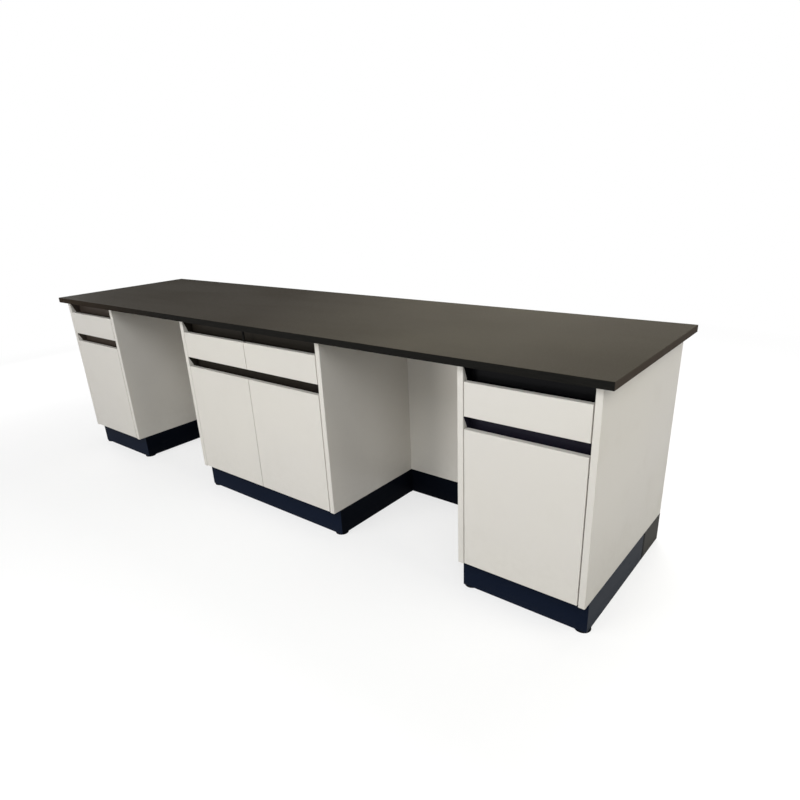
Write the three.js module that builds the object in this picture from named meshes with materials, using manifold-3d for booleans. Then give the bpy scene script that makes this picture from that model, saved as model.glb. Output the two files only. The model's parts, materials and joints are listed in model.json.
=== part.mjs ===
// A laboratory wall bench: a dark worktop on three white steel cabinets with drawers over doors,
// two knee spaces between them, black finger-grip channels and dark plinths on levelling feet.
// Millimetres, +Z up. X runs along the bench, Y from front to back.
// The origin is on the floor, under the middle of the worktop.
import * as THREE from 'three';
import { mergeVertices } from 'three/addons/utils/BufferGeometryUtils.js';
import Module from 'manifold-3d';

const wasm = await Module();
wasm.setup();

// Worktop
const worktopLength = 3000;
const worktopDepth = 750;
const worktopThickness = 25;
const worktopHeight = 835; // floor to working surface
const worktopChamfer = 1.5;
const endOverhang = 35;
const frontOverhang = 25;

// Cabinets and knee spaces
const narrowWidth = 450;
const middleWidth = 860;
const cabinetDepth = 530;
const endPanelDepth = 710; // the two outer panels also close the service space behind
const kneePanelInset = 3; // back of a knee panel in front of the cabinets' backs
const kneePanelThickness = 22;

// Plinths and levelling feet
const plinthHeight = 115;
const plinthSetback = 35;
const plinthLift = 4; // lower edge above the floor
const plinthSheet = 2;
const plinthFlange = 30;
const plinthSeam = 2; // open joint between a cabinet plinth and the end plinth behind it
const kneePlinthSetback = 3; // behind the face of the knee panel
const kneePlinthFlange = 18;
const endPlinthWidth = 50;
const footRadius = 20;
const footShoulder = 16;
const footHeight = 5.5;
const footInset = 22; // foot centre from the plinth's outer faces
const stemRadius = 5;
const gussetSize = 42;
const gussetThickness = 3;
const gussetHeight = 45;

// Sheet steel
const sheet = 1.25;
const panelThickness = 22;
const panelEdgeRadius = 3;
const panFold = 20; // depth of the folded edges of the floor panel and the shelf
const backFold = 15;

// Doors and drawer fronts
const frontThickness = 20;
const frontChamfer = 1;
const reveal = 3; // gap round each front
const topSlotHeight = 53; // open height between the worktop and a drawer front
const drawerFrontHeight = 110;
const middleSlotHeight = 42; // open height between a drawer front and the door below
const drainRadius = 4;
const drainInset = 60;

// Finger-grip channels
const gripDepth = 25; // finger room behind the fronts
const channelWall = 2;
const channelGap = 1.5; // from the back of the fronts to the channel's lips
const cheekSetback = 2; // upper corner of a channel's end behind the face of the fronts
const gripBehindDrawer = 24; // reach of the top channel below the drawer front's upper edge
const gripAboveDrawerEdge = 10; // reach of the middle channel above the drawer front's lower edge
const gripBehindDoor = 20; // reach of the middle channel below the door's upper edge

// Drawers and their runners
const drawerDepth = 450;
const drawerClearance = 4; // above and below a drawer box
const runnerSpace = 13; // between a drawer box and the panel beside it
const runnerHeight = 45;
const runnerThickness = 11;
const runnerWall = 1.5;
const runnerLip = 7.5;
const runnerSetback = 4; // behind the drawer front
const railPlate = 2;
const railNeck = 12;
const runningGap = 0.5;

// Door pivots
const pivotInset = 16; // pivot axis from the door's hinge edge
const pivotDepth = 8; // pivot axis behind the door's face
const pivotFromEnd = 60; // pivot arm from the door's upper or lower edge
const pinRadius = 3;
const pinReach = 10; // pin beyond each face of the arm
const pinGap = 0.3;
const armThickness = 4;
const armWidth = 6;
const armReturn = 8;
const eyeRadius = 5.5;
const bracketPlate = 3;
const bracketLength = 36;
const bracketHeight = 36;
const pocketFace = 1.8; // steel left in front of the pivot pocket
const pocketGap = 1;
const hingeBlockReach = 10; // hinge block past the pivot axis
const hingeBlockHeight = 40;
const sweepGap = 2; // clear of the door's inner corner as it turns

// Shelves
const shelfHeight = 360; // floor to shelf top
const shelfSetback = 70;
const shelfBackGap = 10;
const clipLength = 14;
const clipWidth = 12;
const clipHeight = 8;
const clipInset = 60;

// Fit and faceting
const seat = 0.25; // film of paint or sealant between pieces that rest on each other
const roundSides = 16;
const arcSteps = 3;

// Sizes that follow from the ones above
const carcassTop = worktopHeight - worktopThickness - seat;
const carcassBottom = plinthHeight + seat;
const drawerTop = worktopHeight - worktopThickness - topSlotHeight;
const drawerBottom = drawerTop - drawerFrontHeight;
const doorTop = drawerBottom - middleSlotHeight;
const doorBottom = plinthHeight + reveal;
const kneeWidth = (worktopLength - 2 * endOverhang - 2 * narrowWidth - middleWidth) / 2;
const kneeSetback = cabinetDepth - kneePanelInset - kneePanelThickness;
const channelFront = frontThickness + channelGap;
const channelBack = frontThickness + gripDepth;
const topChannelBottom = drawerTop - gripBehindDrawer;
const middleChannelTop = drawerBottom + gripAboveDrawerEdge;
const middleChannelBottom = doorTop - gripBehindDoor;
const boxBottom = middleChannelTop + drawerClearance;
const boxTop = topChannelBottom - drawerClearance;
const runnerBottom = (boxBottom + boxTop - runnerHeight) / 2;
const runnerTop = runnerBottom + runnerHeight;
const cornerSweep = Math.hypot(pivotInset, frontThickness - pivotDepth);
const behindDoor = pivotDepth + cornerSweep + sweepGap;

// Finishes
const whiteSteel = { color: 0xd9d5cc, roughness: 0.35, metalness: 0, flatShading: true };
const darkSteel = { color: 0x1d2029, roughness: 0.5, metalness: 0, flatShading: true };
const darkTop = { color: 0x37332f, roughness: 0.42, metalness: 0, flatShading: true };
const blackChannel = { color: 0x101114, roughness: 0.45, metalness: 0.2, flatShading: true };
const zincSteel = { color: 0xb2b5b8, roughness: 0.35, metalness: 0.9, flatShading: true };
const greySteel = { color: 0xc4c5c3, roughness: 0.45, metalness: 0, flatShading: true };

// A three.js geometry as a closed solid that can be joined and cut
function solid(geometry) {
  geometry.deleteAttribute('normal');
  geometry.deleteAttribute('uv');
  const merged = mergeVertices(geometry);
  return new wasm.Manifold(new wasm.Mesh({
    numProp: 3,
    vertProperties: new Float32Array(merged.attributes.position.array),
    triVerts: new Uint32Array(merged.index.array),
  }));
}

// A box between two opposite corners, given in any order
function block(x0, x1, y0, y1, z0, z1) {
  const geometry = new THREE.BoxGeometry(Math.abs(x1 - x0), Math.abs(y1 - y0), Math.abs(z1 - z0));
  geometry.translate((x0 + x1) / 2, (y0 + y1) / 2, (z0 + z1) / 2);
  return solid(geometry);
}

// An upright round bar or cone, standing from z0 to z1
function upright(x, y, z0, z1, lowerRadius, upperRadius = lowerRadius) {
  const geometry = new THREE.CylinderGeometry(upperRadius, lowerRadius, z1 - z0, roundSides);
  geometry.rotateX(Math.PI / 2);
  geometry.translate(x, y, (z0 + z1) / 2);
  return solid(geometry);
}

// A slab whose outline lies flat, with all its outer edges chamfered
function chamferedSlab(length, depth, thickness, chamfer) {
  const outline = new THREE.Shape();
  outline.moveTo(-length / 2, -depth / 2);
  outline.lineTo(length / 2, -depth / 2);
  outline.lineTo(length / 2, depth / 2);
  outline.lineTo(-length / 2, depth / 2);
  outline.closePath();
  const geometry = new THREE.ExtrudeGeometry(outline, {
    depth: thickness - 2 * chamfer,
    bevelThickness: chamfer,
    bevelSize: chamfer,
    bevelOffset: -chamfer,
    bevelSegments: 1,
  });
  geometry.translate(0, 0, chamfer);
  return geometry;
}

// An upright panel whose four standing edges are rounded
function roundedPanel(x0, x1, y0, y1, z0, z1, radius) {
  const outline = new THREE.Shape();
  outline.absarc(x1 - radius, y1 - radius, radius, 0, Math.PI / 2);
  outline.absarc(x0 + radius, y1 - radius, radius, Math.PI / 2, Math.PI);
  outline.absarc(x0 + radius, y0 + radius, radius, Math.PI, Math.PI * 1.5);
  outline.absarc(x1 - radius, y0 + radius, radius, Math.PI * 1.5, Math.PI * 2);
  const geometry = new THREE.ExtrudeGeometry(outline, {
    depth: z1 - z0,
    bevelEnabled: false,
    curveSegments: arcSteps,
  });
  geometry.translate(0, 0, z0);
  return solid(geometry);
}

function join(bodies) {
  return bodies.reduce((whole, body) => whole.add(body));
}

function piece(name, body, finish) {
  const { vertProperties, triVerts } = body.getMesh();
  const geometry = new THREE.BufferGeometry();
  geometry.setAttribute('position', new THREE.BufferAttribute(vertProperties, 3));
  geometry.setIndex(new THREE.BufferAttribute(triVerts, 1));
  geometry.computeVertexNormals();
  const mesh = new THREE.Mesh(geometry, new THREE.MeshStandardMaterial(finish));
  mesh.name = name;
  return mesh;
}

// Solid slab with eased edges
function worktop() {
  const slab = chamferedSlab(worktopLength, worktopDepth, worktopThickness, worktopChamfer);
  const mesh = piece('worktop', solid(slab), darkTop);
  mesh.position.z = worktopHeight - worktopThickness;
  return mesh;
}

// Double-skin side panel, open along its upper edge under the worktop
function sidePanel(name, x, depth) {
  const shell = roundedPanel(
    x, x + panelThickness, 0, depth, carcassBottom, carcassTop, panelEdgeRadius,
  );
  const hollow = roundedPanel(
    x + sheet, x + panelThickness - sheet, sheet, depth - sheet,
    carcassBottom + sheet, carcassTop + sheet, panelEdgeRadius - sheet,
  );
  return piece(name, shell.subtract(hollow), whiteSteel);
}

// Folded back panel, open towards the front
function backPanel(name, width) {
  const x0 = panelThickness + seat;
  const x1 = width - panelThickness - seat;
  const pan = block(x0, x1, cabinetDepth - backFold, cabinetDepth, carcassBottom, carcassTop);
  const hollow = block(
    x0 + sheet, x1 - sheet, cabinetDepth - backFold - sheet, cabinetDepth - sheet,
    carcassBottom + sheet, carcassTop - sheet,
  );
  return piece(name, pan.subtract(hollow), whiteSteel);
}

// Folded floor of the cupboard, open below
function floorPanel(name, width) {
  const x0 = panelThickness + seat;
  const x1 = width - panelThickness - seat;
  const y1 = cabinetDepth - backFold - seat;
  const top = carcassBottom + panFold;
  const pan = block(x0, x1, behindDoor, y1, carcassBottom, top);
  const hollow = block(
    x0 + sheet, x1 - sheet, behindDoor + sheet, y1 - sheet, carcassBottom - sheet, top - sheet,
  );
  return piece(name, pan.subtract(hollow), whiteSteel);
}

// Folded shelf on the four clips that hook into the side panels
function shelf(name, width) {
  const x0 = panelThickness + seat;
  const x1 = width - panelThickness - seat;
  const y0 = shelfSetback;
  const y1 = cabinetDepth - backFold - shelfBackGap;
  const bottom = shelfHeight - panFold;
  const pan = block(x0, x1, y0, y1, bottom, shelfHeight);
  const hollow = block(
    x0 + sheet, x1 - sheet, y0 + sheet, y1 - sheet, bottom - sheet, shelfHeight - sheet,
  );
  const clips = [];
  for (const y of [y0 + clipInset, y1 - clipInset]) {
    for (const [a, b] of [[x0, x0 + clipLength], [x1 - clipLength, x1]]) {
      clips.push(block(a, b, y - clipWidth / 2, y + clipWidth / 2, bottom - clipHeight, bottom + sheet));
    }
  }
  return piece(name, join([pan.subtract(hollow), ...clips]), whiteSteel);
}

// A leaning cheek that fills the slot's height beside the fronts, one wall thick from x
function channelCheek(x, slotBottom, slotTop) {
  const outline = new THREE.Shape();
  outline.moveTo(channelFront, slotBottom);
  outline.lineTo(channelBack, slotBottom);
  outline.lineTo(channelBack, slotTop);
  outline.lineTo(cheekSetback, slotTop);
  outline.closePath();
  const geometry = new THREE.ExtrudeGeometry(outline, { depth: channelWall, bevelEnabled: false });
  geometry.rotateX(Math.PI / 2);
  geometry.rotateZ(Math.PI / 2);
  geometry.translate(x, 0, 0);
  return solid(geometry);
}

// The two ends that close a grip channel against the side panels, each with its leaning cheek
function channelEnds(x0, x1, bottom, top, slotBottom, slotTop) {
  return [x0, x1 - channelWall].flatMap((x) => [
    block(x, x + channelWall, channelFront, channelBack + channelWall, bottom, top),
    channelCheek(x, slotBottom, slotTop),
  ]);
}

// Channel under the worktop, with a lip behind the drawer fronts
function topChannel(name, width) {
  const x0 = panelThickness + seat;
  const x1 = width - panelThickness - seat;
  const outer = channelBack + channelWall;
  const wall = block(x0, x1, channelBack, outer, topChannelBottom, carcassTop);
  const lip = block(x0, x1, channelFront, outer, topChannelBottom, topChannelBottom + channelWall);
  const ends = channelEnds(x0, x1, topChannelBottom, carcassTop, drawerTop + reveal, carcassTop);
  return piece(name, join([wall, lip, ...ends]), blackChannel);
}

// Channel between drawers and doors; its lower lip stays clear of the turning doors
function middleChannel(name, width) {
  const x0 = panelThickness + seat;
  const x1 = width - panelThickness - seat;
  const outer = channelBack + channelWall;
  const wall = block(x0, x1, channelBack, outer, middleChannelBottom, middleChannelTop);
  const upperLip = block(x0, x1, channelFront, outer, middleChannelTop - channelWall, middleChannelTop);
  const lowerLip = block(
    x0, x1, behindDoor, outer, middleChannelBottom, middleChannelBottom + channelWall,
  );
  const ends = channelEnds(
    x0, x1, middleChannelBottom, middleChannelTop, doorTop + reveal, drawerBottom - reveal,
  );
  return piece(name, join([wall, upperLip, lowerLip, ...ends]), blackChannel);
}

// Levelling foot and its threaded stem, with the gusset that carries it in a plinth corner
function levellingFoot(x, y, inwardX, inwardY) {
  const cornerX = x - inwardX * (footInset - plinthSheet / 2);
  const cornerY = y - inwardY * (footInset - plinthSheet / 2);
  const gussetTop = gussetHeight + gussetThickness;
  return [
    upright(x, y, 0, footHeight, footRadius, footShoulder),
    upright(x, y, footHeight - gussetThickness, gussetTop + gussetThickness, stemRadius),
    block(
      cornerX, cornerX + inwardX * gussetSize, cornerY, cornerY + inwardY * gussetSize,
      gussetHeight, gussetTop,
    ),
  ];
}

// Plinth ring with an inward top flange and a levelling foot in each corner
function cabinetPlinth(name, width) {
  const y0 = plinthSetback;
  const y1 = cabinetDepth;
  const ring = block(0, width, y0, y1, plinthLift, plinthHeight);
  const hollow = block(
    plinthSheet, width - plinthSheet, y0 + plinthSheet, y1 - plinthSheet,
    plinthLift - plinthSheet, plinthHeight - plinthSheet,
  );
  const mouth = block(
    plinthFlange, width - plinthFlange, y0 + plinthFlange, y1 - plinthFlange,
    plinthLift, plinthHeight + plinthSheet,
  );
  const feet = [];
  for (const [x, inwardX] of [[footInset, 1], [width - footInset, -1]]) {
    for (const [y, inwardY] of [[y0 + footInset, 1], [y1 - footInset, -1]]) {
      feet.push(...levellingFoot(x, y, inwardX, inwardY));
    }
  }
  return piece(name, join([ring.subtract(hollow).subtract(mouth), ...feet]), darkSteel);
}

// Short plinth under the rear part of an outer panel, open towards the service space.
// outward is -1 at the left end of the bench and 1 at the right end.
function endPlinth(name, outerX, outward) {
  const innerX = outerX - outward * endPlinthWidth;
  const y0 = cabinetDepth + plinthSeam;
  const y1 = endPanelDepth;
  const shell = block(outerX, innerX, y0, y1, plinthLift, plinthHeight);
  const hollow = block(
    outerX - outward * plinthSheet, innerX - outward * plinthSheet, y0 + plinthSheet, y1 - plinthSheet,
    plinthLift - plinthSheet, plinthHeight - plinthSheet,
  );
  const foot = levellingFoot(outerX - outward * footInset, y1 - footInset, -outward, -1);
  return piece(name, join([shell.subtract(hollow), ...foot]), darkSteel);
}

// Cabinet half of a drawer runner: a lipped channel on the panel at x, opening along inward
function runner(name, x, inward) {
  const y0 = frontThickness + runnerSetback;
  const y1 = y0 + drawerDepth;
  const back = x + inward * seat;
  const mouth = x + inward * runnerThickness;
  const lipBack = mouth - inward * runnerWall;
  const walls = [
    block(back, back + inward * runnerWall, y0, y1, runnerBottom, runnerTop),
    block(back, mouth, y0, y1, runnerBottom, runnerBottom + runnerWall),
    block(back, mouth, y0, y1, runnerTop - runnerWall, runnerTop),
    block(lipBack, mouth, y0, y1, runnerBottom, runnerBottom + runnerLip),
    block(lipBack, mouth, y0, y1, runnerTop - runnerLip, runnerTop),
  ];
  return piece(name, join(walls), zincSteel);
}

// Drawer half of a runner: a plate held inside the lipped channel, on a neck from the drawer box
function drawerRail(x, inward, y0, y1) {
  const plateBack = x + inward * (seat + runnerWall + runningGap);
  const plateFront = plateBack + inward * railPlate;
  const side = x + inward * (runnerSpace + sheet / 2);
  const middle = (runnerBottom + runnerTop) / 2;
  return [
    block(
      plateBack, plateFront, y0, y1,
      runnerBottom + runnerWall + runningGap, runnerTop - runnerWall - runningGap,
    ),
    block(plateBack, side, y0, y1, middle - railNeck / 2, middle + railNeck / 2),
  ];
}

// Open steel tray with its two rails, between the bay's panels at x0 and x1
function drawerBox(name, x0, x1) {
  const y0 = frontThickness + seat;
  const y1 = y0 + drawerDepth;
  const a = x0 + runnerSpace;
  const b = x1 - runnerSpace;
  const tray = block(a, b, y0, y1, boxBottom, boxTop);
  const hollow = block(a + sheet, b - sheet, y0 + sheet, y1 - sheet, boxBottom + sheet, boxTop + sheet);
  const railFront = frontThickness + runnerSetback;
  const rails = [...drawerRail(x0, 1, railFront, y1), ...drawerRail(x1, -1, railFront, y1)];
  return piece(name, join([tray.subtract(hollow), ...rails]), greySteel);
}

// Upright double-skin front between x0 and x1, with drain holes in its lower edge.
// filled is left solid inside, as the blocks that hold the door pivots are.
function hollowFront(x0, x1, y0, z0, z1, filled = []) {
  const slab = chamferedSlab(x1 - x0, z1 - z0, frontThickness, frontChamfer);
  slab.rotateX(Math.PI / 2);
  slab.translate((x0 + x1) / 2, y0 + frontThickness, (z0 + z1) / 2);
  const hollow = block(
    x0 + sheet, x1 - sheet, y0 + sheet, y0 + frontThickness - sheet, z0 + sheet, z1 - sheet,
  );
  const drains = [x0 + drainInset, x1 - drainInset].map(
    (x) => upright(x, y0 + frontThickness / 2, z0 - sheet, z0 + 2 * sheet, drainRadius),
  );
  const space = filled.reduce((rest, body) => rest.subtract(body), hollow);
  return solid(slab).subtract(space).subtract(join(drains));
}

function drawerFront(name, x0, x1) {
  return piece(name, hollowFront(x0, x1, 0, drawerBottom, drawerTop), whiteSteel);
}

// Door in the frame of its pivot axis. hand is 1 for a door hinged at its left and -1 at its right.
function door(name, width, hand) {
  const edge = -hand * pivotInset;
  const farEdge = hand * (width - pivotInset);
  const face = -pivotDepth;
  const rear = frontThickness - pivotDepth;
  const blocks = [];
  const cuts = [];
  for (const z of [doorBottom + pivotFromEnd, doorTop - pivotFromEnd]) {
    const halfPocket = armThickness / 2 + pocketGap;
    const halfBore = armThickness / 2 + pinReach + pocketGap;
    blocks.push(block(
      edge, hand * hingeBlockReach, face, rear, z - hingeBlockHeight / 2, z + hingeBlockHeight / 2,
    ));
    cuts.push(block(
      edge - hand * pocketGap, hand * (eyeRadius + pocketGap), face + pocketFace, rear + pocketGap,
      z - halfPocket, z + halfPocket,
    ));
    cuts.push(upright(0, 0, z - halfBore, z + halfBore, pinRadius + pinGap));
  }
  const left = Math.min(edge, farEdge);
  const right = Math.max(edge, farEdge);
  const leaf = hollowFront(left, right, face, doorBottom, doorTop, blocks);
  return piece(name, leaf.subtract(join(cuts)), whiteSteel);
}

// Pivot arm, pin and mounting plate, in the frame of the pivot axis
function doorPivot(name, z, hand) {
  const panel = -hand * (pivotInset + reveal - seat);
  const armStart = behindDoor - pivotDepth;
  const armEnd = armStart + armReturn;
  const z0 = z - armThickness / 2;
  const z1 = z + armThickness / 2;
  const half = bracketHeight / 2;
  const bodies = [
    upright(0, 0, z0 - pinReach, z1 + pinReach, pinRadius),
    upright(0, 0, z0, z1, eyeRadius),
    block(-armWidth / 2, armWidth / 2, 0, armEnd, z0, z1),
    block(panel, hand * armWidth / 2, armStart, armEnd, z0, z1),
    block(panel, panel + hand * bracketPlate, armStart, armStart + bracketLength, z - half, z + half),
  ];
  return piece(name, join(bodies), zincSteel);
}

// Double-skin upright between the two drawers of the middle cabinet, open under the worktop
function divider(name, x) {
  const x0 = x - panelThickness / 2;
  const x1 = x + panelThickness / 2;
  const y0 = channelBack + channelWall + seat;
  const y1 = cabinetDepth - backFold - seat;
  const shell = block(x0, x1, y0, y1, boxBottom, carcassTop);
  const hollow = block(
    x0 + sheet, x1 - sheet, y0 + sheet, y1 - sheet, boxBottom + sheet, carcassTop + sheet,
  );
  return piece(name, shell.subtract(hollow), whiteSteel);
}

// Folded panel that closes the back of a knee space, open behind
function kneePanel(name) {
  const y1 = kneeSetback + kneePanelThickness;
  const pan = block(seat, kneeWidth - seat, kneeSetback, y1, carcassBottom, carcassTop);
  const hollow = block(
    seat + sheet, kneeWidth - seat - sheet, kneeSetback + sheet, y1 + sheet,
    carcassBottom + sheet, carcassTop - sheet,
  );
  return piece(name, pan.subtract(hollow), whiteSteel);
}

// Channel-shaped plinth under a knee panel, held between the plinths of two cabinets
function kneePlinth(name) {
  const y0 = kneeSetback + kneePlinthSetback;
  const y1 = y0 + kneePlinthFlange;
  const board = block(seat, kneeWidth - seat, y0, y1, plinthLift, plinthHeight);
  const hollow = block(
    -seat, kneeWidth + seat, y0 + plinthSheet, y1 + plinthSheet,
    plinthLift + plinthSheet, plinthHeight - plinthSheet,
  );
  return piece(name, board.subtract(hollow), darkSteel);
}

// A drawer over a door, with runners, pivots and the groups that slide and turn.
// frontX0 and frontX1 bound the fronts, bayX0 and bayX1 are the faces that carry the runners.
function drawerAndDoor(name, frontX0, frontX1, bayX0, bayX1, hand) {
  const bay = new THREE.Group();
  bay.add(runner(`${name}_drawer_runner_l`, bayX0, 1));
  bay.add(runner(`${name}_drawer_runner_r`, bayX1, -1));

  const drawer = new THREE.Group();
  drawer.add(drawerFront(`${name}_drawer_front`, frontX0, frontX1));
  drawer.add(drawerBox(`${name}_drawer_box`, bayX0, bayX1));
  bay.add(drawer);

  const hinge = new THREE.Group();
  hinge.position.set(hand > 0 ? frontX0 + pivotInset : frontX1 - pivotInset, pivotDepth, 0);
  hinge.add(door(`${name}_door`, frontX1 - frontX0, hand));
  hinge.add(doorPivot(`${name}_door_pivot_lower`, doorBottom + pivotFromEnd, hand));
  hinge.add(doorPivot(`${name}_door_pivot_upper`, doorTop - pivotFromEnd, hand));
  bay.add(hinge);
  return bay;
}

// The fixed pieces of one cabinet, in the frame of its left front corner on the floor
function carcass(name, width, leftDepth, rightDepth) {
  const group = new THREE.Group();
  group.add(sidePanel(`${name}_side_panel_l`, 0, leftDepth));
  group.add(sidePanel(`${name}_side_panel_r`, width - panelThickness, rightDepth));
  group.add(backPanel(`${name}_back_panel`, width));
  group.add(floorPanel(`${name}_floor_panel`, width));
  group.add(shelf(`${name}_shelf`, width));
  group.add(topChannel(`${name}_top_grip_channel`, width));
  group.add(middleChannel(`${name}_middle_grip_channel`, width));
  group.add(cabinetPlinth(`${name}_plinth`, width));
  return group;
}

function narrowCabinet(name, hand) {
  const leftDepth = hand > 0 ? endPanelDepth : cabinetDepth;
  const rightDepth = hand > 0 ? cabinetDepth : endPanelDepth;
  const group = carcass(name, narrowWidth, leftDepth, rightDepth);
  const bayX0 = panelThickness;
  const bayX1 = narrowWidth - panelThickness;
  group.add(drawerAndDoor(name, bayX0 + reveal, bayX1 - reveal, bayX0, bayX1, hand));
  group.add(endPlinth(`${name}_end_plinth`, hand > 0 ? 0 : narrowWidth, -hand));
  return group;
}

function middleCabinet(name) {
  const group = carcass(name, middleWidth, cabinetDepth, cabinetDepth);
  const centre = middleWidth / 2;
  const outer0 = panelThickness;
  const outer1 = middleWidth - panelThickness;
  const inner0 = centre - panelThickness / 2;
  const inner1 = centre + panelThickness / 2;
  const halfReveal = reveal / 2;
  group.add(divider(`${name}_divider`, centre));
  group.add(drawerAndDoor(`${name}_left`, outer0 + reveal, centre - halfReveal, outer0, inner0, 1));
  group.add(drawerAndDoor(`${name}_right`, centre + halfReveal, outer1 - reveal, inner1, outer1, -1));
  return group;
}

function kneeSpace(name) {
  const group = new THREE.Group();
  group.add(kneePanel(`${name}_panel`));
  group.add(kneePlinth(`${name}_plinth`));
  return group;
}

// The row of cabinets and knee spaces, from left to right under the worktop
const row = new THREE.Group();
row.position.set(endOverhang - worktopLength / 2, frontOverhang - worktopDepth / 2, 0);
const modules = [
  [narrowCabinet('left', 1), narrowWidth],
  [kneeSpace('left_knee'), kneeWidth],
  [middleCabinet('middle'), middleWidth],
  [kneeSpace('right_knee'), kneeWidth],
  [narrowCabinet('right', -1), narrowWidth],
];
let along = 0;
for (const [group, width] of modules) {
  group.position.x = along;
  row.add(group);
  along += width;
}

const bench = new THREE.Group();
bench.add(worktop());
bench.add(row);

export default bench;
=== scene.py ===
import json
import math

import bmesh
import bpy
from mathutils import Matrix, Vector


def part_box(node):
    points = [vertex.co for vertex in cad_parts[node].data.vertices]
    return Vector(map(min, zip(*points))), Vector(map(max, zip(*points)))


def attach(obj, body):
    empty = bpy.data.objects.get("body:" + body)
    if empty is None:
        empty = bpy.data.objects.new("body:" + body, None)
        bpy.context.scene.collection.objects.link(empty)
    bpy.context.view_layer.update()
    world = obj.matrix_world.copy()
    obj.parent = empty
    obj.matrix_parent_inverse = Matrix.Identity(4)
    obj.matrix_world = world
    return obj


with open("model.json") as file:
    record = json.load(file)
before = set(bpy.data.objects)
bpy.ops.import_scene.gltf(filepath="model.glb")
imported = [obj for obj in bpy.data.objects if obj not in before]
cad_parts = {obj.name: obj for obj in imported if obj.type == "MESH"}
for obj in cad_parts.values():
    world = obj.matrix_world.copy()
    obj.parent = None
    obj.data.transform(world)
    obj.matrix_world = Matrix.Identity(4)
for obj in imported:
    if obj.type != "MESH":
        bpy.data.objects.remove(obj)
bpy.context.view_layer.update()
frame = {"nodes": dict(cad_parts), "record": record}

# The bench, in metres: +X along it, +Y to the wall, +Z up
BAYS = {"left": 1, "middle_left": 1, "middle_right": -1, "right": -1}  # 1: door hung at its left
CABINETS = ("left", "middle", "right")
FRONTS_BACK = -0.330
FLOOR_FOLD_FACE = -0.320
PLINTH_FRONT = -0.315
SERVICE_FACE = 0.180
PLINTH_FOOT = 0.004
PANEL_FOOT = 0.115
WORKTOP_UNDERSIDE = 0.810
FOOT_INSET = 0.022
AIR = 0.0001  # between a piece and what it is fixed to
X = Vector((1, 0, 0))
Y = Vector((0, 1, 0))
Z = Vector((0, 0, 1))

# Thin layers in which one finish goes over to the next, and where painted shade and painted
# reflections begin
WORKING_FACE = (0.8334, 0.8346)
PANEL_ENDS = (1.4640, 1.4649)
WORKTOP_ENDS = (1.4988, 1.4998)
PLINTH_FACE = (PLINTH_FRONT + 0.0010, PLINTH_FRONT + 0.0005)


def srgb(red, green, blue):
    """A colour as seen on a screen, 0 to 255, as the linear values that shaders take."""
    def linear(level):
        share = level / 255
        return share / 12.92 if share <= 0.04045 else ((share + 0.055) / 1.055) ** 2.4
    return (linear(red), linear(green), linear(blue), 1)


# Shader nodes
class Wire:
    """The output of a node, for use in sums."""

    def __init__(self, tree, socket):
        self.tree = tree
        self.socket = socket

    def sum(self, operation, first, second):
        return self.tree.node("ShaderNodeMath", {"operation": operation}, {0: first, 1: second})

    def __add__(self, other):
        return self.sum("ADD", self, other)

    def __radd__(self, other):
        return self.sum("ADD", other, self)

    def __mul__(self, other):
        return self.sum("MULTIPLY", self, other)

    def __rmul__(self, other):
        return self.sum("MULTIPLY", other, self)


class Tree:
    """The nodes of a material or of the world."""

    def __init__(self, owner):
        owner.use_nodes = True
        self.owner = owner
        self.nodes = owner.node_tree.nodes
        self.links = owner.node_tree.links
        self.nodes.clear()

    def node(self, kind, settings, inputs, output=0):
        made = self.nodes.new(kind)
        for key, value in settings.items():
            setattr(made, key, value)
        for key, value in inputs.items():
            if isinstance(value, Wire):
                self.links.new(value.socket, made.inputs[key])
            else:
                made.inputs[key].default_value = value
        return Wire(self, made.outputs[output]) if made.outputs else None

    def place(self, stretch=(1, 1, 1)):
        spot = self.node("ShaderNodeTexCoord", {}, {}, "Object")
        return self.node("ShaderNodeMapping", {}, {"Vector": spot, "Scale": stretch})

    def axis(self, name):
        return self.node("ShaderNodeSeparateXYZ", {}, {"Vector": self.place()}, name)

    def span(self, value, low, high, start=0, end=1):
        """Takes value from low..high to start..end, and no further."""
        inputs = {"Value": value, "From Min": low, "From Max": high, "To Min": start, "To Max": end}
        return self.node("ShaderNodeMapRange", {}, inputs)

    def beyond(self, inner, outer):
        """0 up to inner, 1 past outer, measured along the bench from its middle to both sides."""
        along = self.axis("X")
        return self.span(along * along, inner ** 2, outer ** 2)

    def noise(self, scale, detail, stretch=(1, 1, 1)):
        inputs = {"Vector": self.place(stretch), "Scale": scale, "Detail": detail}
        return self.node("ShaderNodeTexNoise", {}, inputs, "Fac")

    def patches(self, scale, detail, low=0.3, high=0.7, stretch=(1, 1, 1)):
        """Patches with soft edges: 0 where the noise is at low, 1 where it is at high."""
        return self.span(self.noise(scale, detail, stretch), low, high)

    def cells(self, scale):
        """A colour of its own for each grain of a close pattern."""
        inputs = {"Vector": self.place(), "Scale": scale}
        return self.node("ShaderNodeTexVoronoi", {}, inputs, "Color")

    def blend(self, share, first, second):
        """The first colour, going over to the second as share goes from 0 to 1."""
        return self.node("ShaderNodeMix", {"data_type": "RGBA"}, {0: share, 6: first, 7: second}, 2)

    def bump(self, height, distance):
        inputs = {"Height": height, "Distance": distance, "Strength": 1}
        return self.node("ShaderNodeBump", {}, inputs)

    def mixed(self, share, first, second):
        return self.node("ShaderNodeMixShader", {}, {0: share, 1: first, 2: second})

    def surface(self, shader):
        """Ends the tree with this shader, and gives the material."""
        self.node("ShaderNodeOutputMaterial", {}, {"Surface": shader})
        return self.owner

    def skin(self, inputs):
        return self.surface(self.node("ShaderNodeBsdfPrincipled", {}, inputs))


def finish_tree(name):
    return Tree(bpy.data.materials.new(name))


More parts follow.
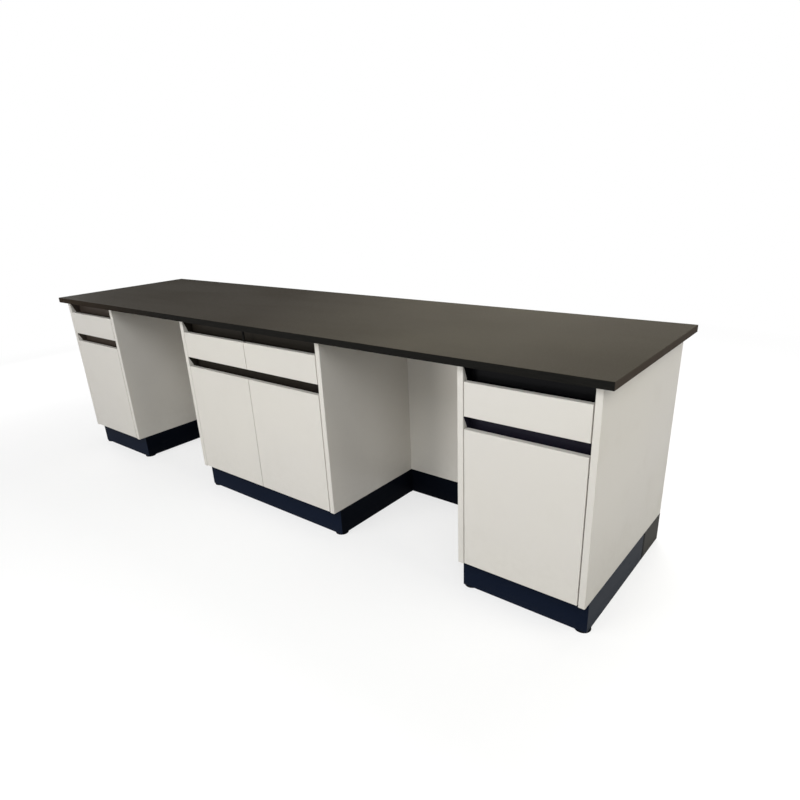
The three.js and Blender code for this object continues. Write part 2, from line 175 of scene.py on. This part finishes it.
# Finishes
def powder_coat(name, main, shade, dust, gloss):
    """Sprayed and baked paint on sheet steel, dusty towards the floor, with painted shade darkening
    the lower part of the bench's ends.
    """
    dust_top = 0.30
    end_shade_top = 0.45
    paint = finish_tree(name)
    height = paint.axis("Z")
    cloud = paint.patches(1.6, 2)
    hands = paint.patches(7, 4, 0.52, 0.78)
    low = paint.span(height, PANEL_FOOT, dust_top, 1, 0)
    settled = low * paint.patches(45, 5, 0.42, 0.8) * 0.12
    # Painted shade: the bench's ends darken towards the floor, in the dust colour
    ends_painted_shade = paint.beyond(*PANEL_ENDS) * paint.span(height, PANEL_FOOT, end_shade_top, 0.34, 0)
    clean = paint.blend(cloud, main, shade)
    return paint.skin({
        # The dust colour serves the settled dust, the hand marks and the painted shade at the ends
        "Base Color": paint.blend(settled + ends_painted_shade + hands * 0.06, clean, dust),
        "Roughness": gloss + hands * 0.10 + settled * 0.2,
        "Specular IOR Level": 0.35,
        "Normal": paint.bump(paint.noise(520, 2), 0.00006),
    })


def compact_laminate(name):
    """A brown-grey matt sheet, with a painted reflection that makes it paler to the right, on a
    slab with a black core.
    """
    slab = finish_tree(name)
    along = slab.axis("X")
    grit = slab.noise(1300, 2)
    cloud = slab.patches(2.2, 3)
    wiped = slab.patches(5, 5, 0.45, 0.8, (0.3, 1, 1))
    flecks = slab.patches(420, 4, 0.54, 0.68)
    pits = slab.patches(260, 4, 0.40, 0.30)
    layers = slab.patches(900, 3, 0.35, 0.65, (0.02, 0.02, 1))
    # Painted reflection: a slanting band makes the sheet paler to the right, fading again towards
    # the far right end
    slanting = along + slab.axis("Y") * 0.55
    painted_reflection = slab.span(slanting, -0.2, 0.65) * slab.span(along, 1.1, 1.5, 1, 0.5)
    pale = slab.blend(cloud, srgb(74, 70, 62), srgb(80, 76, 67))
    sheet = slab.blend(painted_reflection, srgb(53, 49, 43), pale)
    sheet = slab.blend(slab.span(grit, 0.3, 0.7) * 0.25, sheet, srgb(50, 47, 42))
    sheet = slab.blend(flecks * 0.28, sheet, srgb(98, 93, 84))
    sheet = slab.blend(pits * 0.45, sheet, srgb(38, 35, 31))
    core = slab.blend(layers, srgb(23, 23, 22), srgb(32, 31, 29))
    core = slab.blend(slab.span(along, -0.5, -1.5), core, srgb(48, 39, 30))
    core = slab.blend(slab.beyond(*WORKTOP_ENDS), core, srgb(68, 61, 55))
    return slab.skin({
        "Base Color": slab.blend(slab.span(slab.axis("Z"), *WORKING_FACE), core, sheet),
        "Roughness": 0.60 + wiped * 0.10,
        "Specular IOR Level": 0.01,
        "Normal": slab.bump(grit, 0.00003),
    })


def dark_enamel(name, main, shade):
    """Paint of the plinths: painted shade makes it nearly black except on its fronts and ends, a
    painted reflection makes the ends paler, and it is dark along their rear joint.
    """
    dust_top = 0.05
    paint = finish_tree(name)
    back = paint.axis("Y")
    front = paint.span(back, *PLINTH_FACE)
    ends = paint.beyond(*PANEL_ENDS)
    cloud = paint.patches(4, 3)
    scuffs = paint.patches(60, 5, 0.60, 0.78, (0.2, 0.2, 1))
    low = paint.span(paint.axis("Z"), PLINTH_FOOT, dust_top, 1, 0)
    dust = low * paint.patches(120, 4, 0.4, 0.75)
    before = paint.span(back, SERVICE_FACE - 0.006, SERVICE_FACE - 0.002)
    behind = paint.span(back, SERVICE_FACE + 0.020, SERVICE_FACE + 0.012)
    # Painted shade: nearly black everywhere but on the front faces and the ends
    colour = paint.blend(front + ends, srgb(9, 13, 21), paint.blend(cloud, main, shade))
    colour = paint.blend(dust * 0.06 + scuffs * 0.03, colour, srgb(96, 92, 86))
    # Painted reflection: the ends are made paler and greyer
    colour = paint.blend(ends * 0.32, colour, srgb(82, 86, 92))
    colour = paint.blend(ends * before * behind, colour, srgb(9, 8, 8))
    return paint.skin({
        "Base Color": colour,
        "Roughness": 0.40 + scuffs * 0.18 + dust * 0.25,
        "Specular IOR Level": 0.009,
        "Normal": paint.bump(paint.noise(480, 2), 0.00003),
    })


def black_extrusion(name):
    """Black section with fine lines along it, with a painted brown reflection towards the left and
    painted shade making it blackest above the drawers.
    """
    section = finish_tree(name)
    along = section.axis("X")
    lines = section.noise(1400, 2, (0.004, 1, 1))
    cloud = section.patches(6, 3)
    # Painted reflection: the channels turn brown and paler towards the left
    brown_painted_reflection = section.span(along, 0.9, 0.3)
    far_left_painted_reflection = section.span(along, -0.5, -1.1)
    # Painted shade: the top channels, under the worktop, go nearly black
    top_painted_shade = section.span(section.axis("Z"), 0.66, 0.73)
    black = section.blend(cloud, srgb(33, 31, 43), srgb(38, 36, 48))
    black = section.blend(top_painted_shade, black, srgb(9, 9, 12))
    brown = section.blend(far_left_painted_reflection, srgb(44, 40, 35), srgb(77, 68, 61))
    return section.skin({
        "Base Color": section.blend(brown_painted_reflection, black, brown),
        "Roughness": 0.38 + section.span(lines, 0.3, 0.7) * 0.16,
        "Specular IOR Level": 0.06,
        "Normal": section.bump(lines, 0.00003),
    })


def black_rubber(name):
    """Soft matt black of the door stops, hole sleeves, foot rings and channel post."""
    rubber = finish_tree(name)
    bloom = rubber.patches(80, 4, 0.45, 0.75)
    return rubber.skin({
        "Base Color": rubber.blend(bloom * 0.4, srgb(22, 22, 21), srgb(36, 35, 33)),
        "Roughness": 0.62 + bloom * 0.15,
        "Specular IOR Level": 0.05,
        "Normal": rubber.bump(rubber.noise(700, 2), 0.00004),
    })


def zinc_plate(name):
    """Bright zinc on rolled steel, with a faint spangle."""
    plate = finish_tree(name)
    rolled = plate.noise(900, 3, (1, 0.03, 1))
    dull = plate.patches(30, 4, 0.45, 0.75)
    bright = plate.blend(0.12, srgb(196, 198, 200), plate.cells(260))
    return plate.skin({
        "Base Color": plate.blend(dull, bright, srgb(158, 160, 161)),
        "Metallic": 0.92,
        "Roughness": 0.30 + dull * 0.18 + plate.span(rolled, 0.3, 0.7) * 0.08,
        "Normal": plate.bump(rolled, 0.00002),
    })


FINISHES = {
    "white_steel": powder_coat(
        "white_steel", srgb(219, 215, 207), srgb(216, 212, 206), srgb(178, 172, 160), gloss=0.30),
    "worktop": compact_laminate("worktop"),
    "dark_plinth": dark_enamel("dark_plinth", srgb(19, 26, 41), srgb(22, 29, 44)),
    "black_channel": black_extrusion("black_channel"),
    "zinc_steel": zinc_plate("zinc_steel"),
    "drawer_steel": powder_coat(
        "drawer_steel", srgb(196, 197, 195), srgb(190, 191, 190), srgb(158, 156, 150), gloss=0.40),
}
REAR_PLINTH = dark_enamel("rear_plinth", srgb(52, 46, 34), srgb(60, 53, 39))
RUBBER = black_rubber("black_rubber")

for subpart in frame["record"]["subparts"]:
    for holder in frame["nodes"][subpart["node"]].material_slots:
        holder.material = FINISHES[subpart["material_slot"]]
for end in ("left", "right"):
    for holder in frame["nodes"][f"{end}_end_plinth"].material_slots:
        holder.material = REAR_PLINTH


# Modelling
def nothing_selected():
    bpy.ops.object.select_all(action="DESELECT")


def only(piece):
    nothing_selected()
    piece.select_set(True)
    bpy.context.view_layer.objects.active = piece


def settle(piece, name):
    """Puts the place, turn and size of a new primitive into its mesh."""
    piece.name = name
    only(piece)
    bpy.ops.object.transform_apply(location=True, rotation=True, scale=True)
    return piece


def bar(name, low, high):
    """A box between two corners, to be shaped further."""
    nothing_selected()
    low, high = Vector(low), Vector(high)
    bpy.ops.mesh.primitive_cube_add(size=1, location=(low + high) / 2)
    bpy.context.object.scale = high - low
    return settle(bpy.context.object, name)


def disc(name, radius, height, sides):
    """A round blank that stands on the origin, along +Z."""
    nothing_selected()
    bpy.ops.mesh.primitive_cylinder_add(
        vertices=sides, radius=radius, depth=height, location=(0, 0, height / 2))
    return settle(bpy.context.object, name)


def round_sheet(name, radius, level, sides):
    """A flat round face about the Z axis."""
    nothing_selected()
    bpy.ops.mesh.primitive_circle_add(
        vertices=sides, radius=radius, fill_type="NGON", location=(0, 0, level))
    return settle(bpy.context.object, name)


def pick(piece, kind, test):
    """Goes into edit mode with the faces or edges that pass the test selected."""
    only(piece)
    bpy.ops.object.mode_set(mode="EDIT")
    bpy.ops.mesh.select_mode(type=kind)
    bpy.ops.mesh.select_all(action="DESELECT")
    shape = bmesh.from_edit_mesh(piece.data)
    for element in shape.faces if kind == "FACE" else shape.edges:
        if test(element):
            element.select_set(True)
    bmesh.update_edit_mesh(piece.data)


def done():
    bpy.ops.object.mode_set(mode="OBJECT")


def facing(direction):
    return lambda face: face.normal.dot(direction) > 0.9


def edge_along(direction):
    def test(edge):
        return abs((edge.verts[0].co - edge.verts[1].co).normalized().dot(direction)) > 0.99
    return test


def inset(width, rise=0):
    bpy.ops.mesh.inset(thickness=width, depth=rise)


def extrude(x, y, z):
    bpy.ops.mesh.extrude_region_move(TRANSFORM_OT_translate={"value": (x, y, z)})


def cut_level(piece, level):
    """Parts all the faces of a piece at a height."""
    pick(piece, "FACE", lambda face: True)
    bpy.ops.mesh.bisect(plane_co=(0, 0, level), plane_no=(0, 0, 1))
    done()


def sink_front(piece, rim, depth):
    """Sinks the front of a piece inside a rim."""
    pick(piece, "FACE", facing(-Y))
    inset(rim)
    extrude(0, depth, 0)
    done()


def round_edges(piece, test, width, steps):
    """Rounds the edges that pass the test."""
    pick(piece, "EDGE", test)
    bpy.ops.mesh.bevel(offset=width, segments=steps)
    done()


def round_off(piece, width, steps=2):
    """Rounds all sharp edges and smooths the shading between them."""
    only(piece)
    bevel = piece.modifiers.new("rounding", "BEVEL")
    bevel.width = width
    bevel.segments = steps
    bevel.limit_method = "ANGLE"
    bevel.angle_limit = math.radians(40)
    bpy.ops.object.modifier_apply(modifier=bevel.name)
    bpy.ops.object.shade_smooth_by_angle(angle=math.radians(35))


def ring_of(sheet, width, thickness):
    """Leaves a flat sheet's border and thickens it downwards."""
    pick(sheet, "FACE", facing(Z))
    inset(width)
    bpy.ops.mesh.delete(type="FACE")
    done()
    only(sheet)
    wall = sheet.modifiers.new("depth", "SOLIDIFY")
    wall.thickness = thickness
    wall.offset = -1
    bpy.ops.object.modifier_apply(modifier=wall.name)


def fit(piece, body, slot, finish=None):
    """Gives a finished piece its body and its finish."""
    piece.data.materials.clear()
    piece.data.materials.append(finish or FINISHES[slot])
    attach(piece, body)


def spread(master, name, spots):
    """One piece made of copies of the master, each on a point and pointing along a direction."""
    made = []
    for point, direction in spots:
        copy = master.copy()
        copy.data = master.data.copy()
        bpy.context.scene.collection.objects.link(copy)
        turn = Z.rotation_difference(direction).to_matrix().to_4x4()
        copy.matrix_world = Matrix.Translation(point) @ turn
        made.append(copy)
    nothing_selected()
    for copy in made:
        copy.select_set(True)
    bpy.context.view_layer.objects.active = made[0]
    bpy.ops.object.transform_apply(location=True, rotation=True, scale=True)
    if len(made) > 1:
        bpy.ops.object.join()
    made[0].name = name
    return made[0]


# Hardware that repeats
CLEAT_HALF = 0.018
CLEAT_FOOT = -0.040
CLEAT_REACH = 0.036
CLEAT_WALL_FACE = 0.0027
CLEAT_UNDERSIDE = -0.0028


def socket_screw():
    """Low round head with a hexagon socket."""
    head = disc("socket_screw", radius=0.0038, height=0.0022, sides=18)
    pick(head, "FACE", facing(Z))
    inset(0.0009)
    bpy.ops.transform.translate(value=(0, 0, 0.0004))
    done()
    round_off(head, 0.0004)
    key = disc("key", radius=0.0019, height=0.003, sides=6)
    key.location.z = 0.0013
    settle(key, "key")
    only(head)
    cut = head.modifiers.new("socket", "BOOLEAN")
    cut.operation = "DIFFERENCE"
    cut.object = key
    bpy.ops.object.modifier_apply(modifier=cut.name)
    bpy.data.objects.remove(key)
    return head


def peg_sleeve():
    """Sleeve of a shelf hole: a low flange round a blind bore."""
    sleeve = disc("peg_sleeve", radius=0.0052, height=0.0011, sides=14)
    pick(sleeve, "FACE", facing(Z))
    inset(0.0004)
    inset(0.0018)
    extrude(0, 0, -0.0009)
    done()

    def outer_rim(edge):
        return all(corner.co.z > 0.001 and corner.co.xy.length > 0.005 for corner in edge.verts)

    round_edges(sleeve, outer_rim, width=0.00035, steps=2)
    return sleeve


def door_buffer():
    """Rubber stop on a flange."""
    stop = disc("door_buffer", radius=0.0070, height=0.0016, sides=20)
    pick(stop, "FACE", facing(Z))
    inset(0.0022)
    extrude(0, 0, 0.0062)
    inset(0.0012, rise=0.0014)
    inset(0.0014, rise=0.0005)
    done()
    round_off(stop, 0.0004)
    return stop


def corner_of_leg(edge):
    """True for the short edges at the free corners of a cleat's two legs."""
    middle = (edge.verts[0].co + edge.verts[1].co) / 2
    length = (edge.verts[0].co - edge.verts[1].co).length
    at_foot = middle.z < CLEAT_FOOT + 0.001 and edge_along(Y)(edge)
    at_tip = middle.y > CLEAT_REACH + 0.002 and edge_along(Z)(edge)
    return length < 0.003 and (at_foot or at_tip)


def cleat():
    """Angle bracket: one leg stands on a wall that faces +Y, the other lies under the worktop."""
    angle = bar(
        "cleat", (-CLEAT_HALF, 2 * AIR, CLEAT_FOOT), (CLEAT_HALF, CLEAT_WALL_FACE, -3 * AIR))
    cut_level(angle, CLEAT_UNDERSIDE)

    def upper_strip(face):
        return facing(Y)(face) and face.calc_center_median().z > CLEAT_UNDERSIDE

    pick(angle, "FACE", upper_strip)
    extrude(0, CLEAT_REACH, 0)
    done()
    round_edges(angle, corner_of_leg, width=0.006, steps=4)
    round_off(angle, 0.0005)
    return angle


def foot_ring():
    """Low rubber ring round a levelling foot."""
    ring = round_sheet("foot_ring", radius=0.0265, level=0.0036, sides=36)
    ring_of(ring, width=0.0066, thickness=0.0033)
    round_off(ring, 0.0010)
    return ring


SCREW = socket_screw()
SLEEVE = peg_sleeve()
BUFFER = door_buffer()
CLEAT = cleat()
FOOT_RING = foot_ring()


# Doors
LINER_SIDE = 0.034
LINER_FOOT = 0.040
LINER_HEAD = 0.048
LINER_SHEET = 0.0010
LINER_SCREW_SIDE = LINER_SIDE + 0.008
LINER_SCREW_RISE = 0.080
CATCH_INSET = 0.075
CATCH_HALF = 0.023
CATCH_HEIGHT = 0.013
CATCH_FRONT = -0.3270
CATCH_BACK = -0.3000
POLES_HALF = 0.018
POLES_FRONT = -0.3288
POLES_BACK = -0.3252
STRIKE_HALF = 0.020
STRIKE_SHEET = 0.0007
STOP_FROM_FREE_EDGE = 0.035
STOP_FROM_HUNG_EDGE = 0.110
STOP_RISE = 0.0095
PIVOT_PLATE = 0.003
PIVOT_SCREW_STEP = 0.010


def door_liner(bay):
    """Pressed inner pan on the back of a door."""
    low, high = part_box(f"{bay}_door")
    pan = bar(
        f"{bay}_door_liner",
        (low.x + LINER_SIDE, FRONTS_BACK + AIR, low.z + LINER_FOOT),
        (high.x - LINER_SIDE, FRONTS_BACK + AIR + LINER_SHEET, high.z - LINER_HEAD),
    )
    round_edges(pan, edge_along(Y), width=0.026, steps=8)
    pick(pan, "FACE", facing(Y))
    inset(0.013)
    inset(0.004, rise=0.0045)
    done()
    round_off(pan, 0.0004)
    fit(pan, f"{bay}_door", "white_steel")
    lowest = low.z + LINER_FOOT + LINER_SCREW_RISE
    highest = high.z - LINER_HEAD - LINER_SCREW_RISE
    spots = []
    for x in (low.x + LINER_SCREW_SIDE, high.x - LINER_SCREW_SIDE):
        for z in (lowest, (low.z + high.z) / 2, highest):
            spots.append(((x, FRONTS_BACK + LINER_SHEET, z), Y))
    fit(spread(SCREW, f"{bay}_door_liner_screws", spots), f"{bay}_door", "zinc_steel")


def catch_case(bay, x, top):
    """Housing of a door catch, sunk at its front."""
    case = bar(
        f"{bay}_catch_case",
        (x - CATCH_HALF, CATCH_FRONT, top - CATCH_HEIGHT), (x + CATCH_HALF, CATCH_BACK, top),
    )
    sink_front(case, rim=0.0028, depth=0.0012)
    round_off(case, 0.0005)
    fit(case, "bench", "black_channel")


def catch_poles(bay, x, top):
    """The two pole plates of a catch and the groove that parts them."""
    poles = bar(
        f"{bay}_catch_poles",
        (x - POLES_HALF, POLES_FRONT, top - 0.0094), (x + POLES_HALF, POLES_BACK, top - 0.0036),
    )
    groove_low = top - 0.0078
    groove_high = top - 0.0052
    cut_level(poles, groove_low)
    cut_level(poles, groove_high)

    def in_groove(face):
        return facing(-Y)(face) and groove_low < face.calc_center_median().z < groove_high

    pick(poles, "FACE", in_groove)
    extrude(0, 0.0014, 0)
    done()
    fit(poles, "bench", "zinc_steel")


def catch_strike(bay, x, top):
    """Steel plate on a door that meets the poles."""
    strike = bar(
        f"{bay}_catch_strike",
        (x - STRIKE_HALF, FRONTS_BACK + AIR, top - 0.0125),
        (x + STRIKE_HALF, FRONTS_BACK + AIR + STRIKE_SHEET, top - 0.0005),
    )
    round_edges(strike, edge_along(Y), width=0.0035, steps=4)
    round_off(strike, 0.0002)
    fit(strike, f"{bay}_door", "zinc_steel")


def door_catch(bay, hand):
    """Magnetic catch under the middle channel, near the free edge of the door."""
    low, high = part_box(f"{bay}_door")
    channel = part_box(f"{bay.split('_')[0]}_middle_grip_channel")
    x = high.x - CATCH_INSET if hand > 0 else low.x + CATCH_INSET
    top = channel[0].z - 2 * AIR
    catch_case(bay, x, top)
    catch_poles(bay, x, top)
    catch_strike(bay, x, top)


def door_stops(bay, hand):
    """Two buffers on the fold of the cabinet floor, behind the door's lower edge."""
    low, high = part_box(f"{bay}_door")
    free, hung = (high.x, low.x) if hand > 0 else (low.x, high.x)
    spots = []
    for x in (free - hand * STOP_FROM_FREE_EDGE, hung + hand * STOP_FROM_HUNG_EDGE):
        spots.append(((x, FLOOR_FOLD_FACE - AIR, low.z + STOP_RISE), -Y))
    fit(spread(BUFFER, f"{bay}_door_stops", spots), "bench", "black_channel", RUBBER)


def pivot_screws(bay, hand):
    """Screws of the pivots' mounting plates."""
    spots = []
    for level in ("lower", "upper"):
        low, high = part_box(f"{bay}_door_pivot_{level}")
        wall = low.x + PIVOT_PLATE if hand > 0 else high.x - PIVOT_PLATE
        middle = (low.z + high.z) / 2
        for z in (middle - PIVOT_SCREW_STEP, middle + PIVOT_SCREW_STEP):
            spots.append(((wall, high.y - PIVOT_SCREW_STEP, z), hand * X))
    fit(spread(SCREW, f"{bay}_pivot_screws", spots), "bench", "zinc_steel")


# Drawers
RAIL_WIDTH = 0.0090
RIM_RISE = 0.0010
RIM_OVERHANG = 0.0008
DRAWER_SHEET = 0.00125
DRAWER_SCREW_HALF = 0.120
DRAWER_SCREW_RISE = 0.034


def drawer_rim(bay):
    """Rolled edge round the top of a drawer box."""
    low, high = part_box(f"{bay}_drawer_box")
    middle = ((low.x + high.x) / 2, (low.y + high.y + RIM_OVERHANG) / 2, high.z + RIM_RISE)
    nothing_selected()
    bpy.ops.mesh.primitive_plane_add(size=1, location=middle)
    width = high.x - low.x - 2 * RAIL_WIDTH
    bpy.context.object.scale = (width, high.y - low.y + RIM_OVERHANG, 1)
    rim = settle(bpy.context.object, f"{bay}_drawer_rim")
    ring_of(rim, width=0.0036, thickness=0.0032)
    round_off(rim, 0.0010, 3)
    fit(rim, f"{bay}_drawer", "drawer_steel")


def drawer_screws(bay):
    """Two screws that hold a drawer's front to its box."""
    low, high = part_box(f"{bay}_drawer_box")
    middle = (low.x + high.x) / 2
    spots = []
    for x in (middle - DRAWER_SCREW_HALF, middle + DRAWER_SCREW_HALF):
        spots.append(((x, low.y + DRAWER_SHEET, low.z + DRAWER_SCREW_RISE), Y))
    fit(spread(SCREW, f"{bay}_drawer_front_screws", spots), f"{bay}_drawer", "zinc_steel")


for bay, hand in BAYS.items():
    door_liner(bay)
    door_catch(bay, hand)
    door_stops(bay, hand)
    pivot_screws(bay, hand)
    drawer_rim(bay)
    drawer_screws(bay)


# Cabinets
HOLE_ROWS = 12
LOWEST_HOLE = 0.191
HOLE_STEP = 0.032
HOLE_COLUMN_INSET = 0.060
CLEAR_BELOW_SHELF = 0.010
CLEAR_ABOVE_SHELF = 0.006
BACK_SCREWS = 5
BACK_SCREW_SIDE = 0.012
BACK_SCREW_END = 0.030
CLEAT_INSET = 0.070
CLEAT_SCREW = 0.026
POST_FACE = -0.346
POST_DEPTH = 0.006
POST_HALF = 0.0040
POST_CLEAR = 0.0030


def shelf_holes(cabinet):
    """Two columns of sleeves on each inner side, for moving the shelf."""
    shelf_low, shelf_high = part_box(f"{cabinet}_shelf")
    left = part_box(f"{cabinet}_side_panel_l")[1].x
    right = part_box(f"{cabinet}_side_panel_r")[0].x
    spots = []
    for row in range(HOLE_ROWS):
        z = LOWEST_HOLE + HOLE_STEP * row
        if shelf_low.z - CLEAR_BELOW_SHELF < z < shelf_high.z + CLEAR_ABOVE_SHELF:
            continue
        for y in (shelf_low.y + HOLE_COLUMN_INSET, shelf_high.y - HOLE_COLUMN_INSET):
            spots.append(((left, y, z), X))
            spots.append(((right, y, z), -X))
    fit(spread(SLEEVE, f"{cabinet}_shelf_holes", spots), "bench", "black_channel", RUBBER)


def back_panel_screws(cabinet):
    """A row of screws along each side of a back panel."""
    low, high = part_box(f"{cabinet}_back_panel")
    first = low.z + BACK_SCREW_END
    step = (high.z - low.z - 2 * BACK_SCREW_END) / (BACK_SCREWS - 1)
    spots = []
    for x in (low.x + BACK_SCREW_SIDE, high.x - BACK_SCREW_SIDE):
        for row in range(BACK_SCREWS):
            spots.append(((x, SERVICE_FACE, first + row * step), Y))
    fit(spread(SCREW, f"{cabinet}_back_panel_screws", spots), "bench", "zinc_steel")


def worktop_cleats(cabinet):
    """Angles that hold the worktop to the back of a cabinet."""
    low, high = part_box(f"{cabinet}_back_panel")
    angles = []
    spots = []
    for x in (low.x + CLEAT_INSET, high.x - CLEAT_INSET):
        angles.append(((x, SERVICE_FACE, WORKTOP_UNDERSIDE), Z))
        spots.append(((x, SERVICE_FACE + CLEAT_WALL_FACE, WORKTOP_UNDERSIDE - CLEAT_SCREW), Y))
        spots.append(((x, SERVICE_FACE + CLEAT_SCREW, WORKTOP_UNDERSIDE + CLEAT_UNDERSIDE), -Z))
    fit(spread(CLEAT, f"{cabinet}_worktop_cleats", angles), "bench", "zinc_steel")
    fit(spread(SCREW, f"{cabinet}_cleat_screws", spots), "bench", "zinc_steel")


def foot_glides(cabinet):
    """Rings under the two front corners of a cabinet's plinth."""
    low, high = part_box(f"{cabinet}_plinth")
    spots = []
    for x in (low.x + FOOT_INSET, high.x - FOOT_INSET):
        spots.append(((x, low.y + FOOT_INSET, 0), Z))
    fit(spread(FOOT_RING, f"{cabinet}_foot_glides", spots), "bench", "black_channel", RUBBER)


def channel_post():
    """Rubber-faced post under the worktop, above the joint of the two middle drawers."""
    drawer_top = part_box("middle_left_drawer_front")[1].z
    post = bar(
        "middle_channel_post",
        (-POST_HALF, POST_FACE, drawer_top + POST_CLEAR),
        (POST_HALF, POST_FACE + POST_DEPTH, WORKTOP_UNDERSIDE - 2 * AIR),
    )

    def front_corner(edge):
        return edge_along(Z)(edge) and edge.verts[0].co.y < POST_FACE + 0.001

    round_edges(post, front_corner, width=0.0015, steps=4)
    sink_front(post, rim=0.0016, depth=0.0008)
    round_off(post, 0.0003)
    fit(post, "bench", "black_channel", RUBBER)


channel_post()
for cabinet in CABINETS:
    shelf_holes(cabinet)
    back_panel_screws(cabinet)
    worktop_cleats(cabinet)
    foot_glides(cabinet)

for master in (SCREW, SLEEVE, BUFFER, CLEAT, FOOT_RING):
    bpy.data.objects.remove(master)


# Floor, surroundings, light and camera
PLAIN_WHITE = (1, 1, 1, 1)
FLOOR_RADIUS = 30
FLOOR_LEVEL = -0.0002
SHADOW_NEAR = 2.0
SHADOW_END = 4.5
AMBIENT = 0.03
REAR_LAMPS = 1.0  # lamps further back than this would mirror in the worktop
COOL = (0.97, 0.99, 1)
WARM = (1, 0.972, 0.865)
CREAM = (1, 0.985, 0.955)
WHITE = (1, 1, 1)
# Place, aim, width, height, power and colour of each lamp
LAMPS = {
    "ceiling_front": ((0.2, -3.0, 3.4), (0.1, -0.3, 0.4), 4.0, 2.0, 79, COOL),
    "ceiling_front_right": ((3.2, -2.8, 3.2), (0.8, -0.3, 0.4), 2.0, 2.0, 37, COOL),
    "ceiling_right": ((3.8, 0.0, 3.0), (1.4, 0.0, 0.4), 2.0, 3.0, 62, WARM),
    "ceiling_left": ((-4.2, -0.2, 2.2), (-1.4, 0.0, 0.4), 2.0, 2.0, 22, WHITE),
    "ceiling_back": ((0.4, 3.8, 2.2), (0.2, 0.3, 0.4), 4.0, 2.0, 92, WHITE),
    "ceiling_worktop": ((0.9, 1.3, 2.7), (0.8, 0.1, 0.8), 1.2, 1.0, 34, WHITE),
    "low_left_end": ((-4.0, 0.0, 0.8), (-1.4, 0.0, 0.45), 1.6, 0.8, 28, WHITE),
    "low_left": ((-1.5, -5.5, 1.2), (0.2, -0.35, 0.4), 1.2, 1.0, 69, CREAM),
    "low_right": ((4.2, -2.6, 1.7), (0.6, -0.1, 0.4), 1.2, 1.0, 14, COOL),
    "low_front": ((0.6, -2.2, 0.25), (0.4, -0.35, 0.2), 3.0, 0.3, 10, COOL),
}
CAMERA_PLACE = (1.99988, -1.83432, 1.30047)
CAMERA_TURN = (67.300, 2.426, 38.324)
CAMERA_SENSOR = 36
CAMERA_LENS = 27.603
CAMERA_RISE = 0.05469


def seen(tree):
    """1 for what the camera sees, straight or in a reflection or through glass."""
    kinds = ("Is Camera Ray", "Is Glossy Ray", "Is Transmission Ray")
    straight, mirrored, through = [tree.node("ShaderNodeLightPath", {}, {}, kind) for kind in kinds]
    return tree.span(straight + mirrored + through, 0, 1)


def pale_floor():
    """White to the eye, with a faint shadow near the bench, and pale grey to the light."""
    floor = round_sheet("floor", radius=FLOOR_RADIUS, level=FLOOR_LEVEL, sides=64)
    tree = finish_tree("pale_floor")
    away = tree.node("ShaderNodeVectorMath", {"operation": "LENGTH"}, {0: tree.place()}, "Value")
    white = tree.node("ShaderNodeEmission", {}, {"Color": PLAIN_WHITE, "Strength": 1})
    lit = tree.node("ShaderNodeBsdfDiffuse", {}, {"Color": PLAIN_WHITE})
    pale = tree.node("ShaderNodeBsdfDiffuse", {}, {"Color": srgb(150, 148, 144)})
    shadowed = tree.mixed(tree.span(away, SHADOW_NEAR, SHADOW_END, 0.68, 1), lit, white)
    floor.data.materials.append(tree.surface(tree.mixed(seen(tree), pale, shadowed)))


def surroundings():
    """White to the eye, and a weak even light."""
    world = bpy.data.worlds.new("studio")
    bpy.context.scene.world = world
    tree = Tree(world)
    ambient = tree.node("ShaderNodeBackground", {}, {"Color": PLAIN_WHITE, "Strength": AMBIENT})
    white = tree.node("ShaderNodeBackground", {}, {"Color": PLAIN_WHITE, "Strength": 1})
    tree.node("ShaderNodeOutputWorld", {}, {"Surface": tree.mixed(seen(tree), ambient, white)})


def soft_box(name, place, aim, width, height, power, colour):
    nothing_selected()
    bpy.ops.object.light_add(type="AREA", location=place)
    lamp = bpy.context.object
    lamp.name = name
    lamp.data.shape = "RECTANGLE"
    lamp.data.size = width
    lamp.data.size_y = height
    lamp.data.energy = power
    lamp.data.color = colour
    lamp.rotation_euler = (Vector(aim) - Vector(place)).to_track_quat("-Z", "Y").to_euler()
    lamp.visible_camera = False
    lamp.visible_glossy = lamp.location.y < REAR_LAMPS


def viewpoint():
    """The camera, where the photograph was taken from."""
    turn = [math.radians(angle) for angle in CAMERA_TURN]
    bpy.ops.object.camera_add(location=CAMERA_PLACE, rotation=turn)
    camera = bpy.context.object
    camera.data.sensor_width = CAMERA_SENSOR
    camera.data.lens = CAMERA_LENS
    camera.data.shift_y = CAMERA_RISE
    bpy.context.scene.camera = camera
    bpy.context.scene.view_settings.view_transform = "Standard"


pale_floor()
surroundings()
for lamp_name, setting in LAMPS.items():
    soft_box(lamp_name, *setting)
viewpoint()
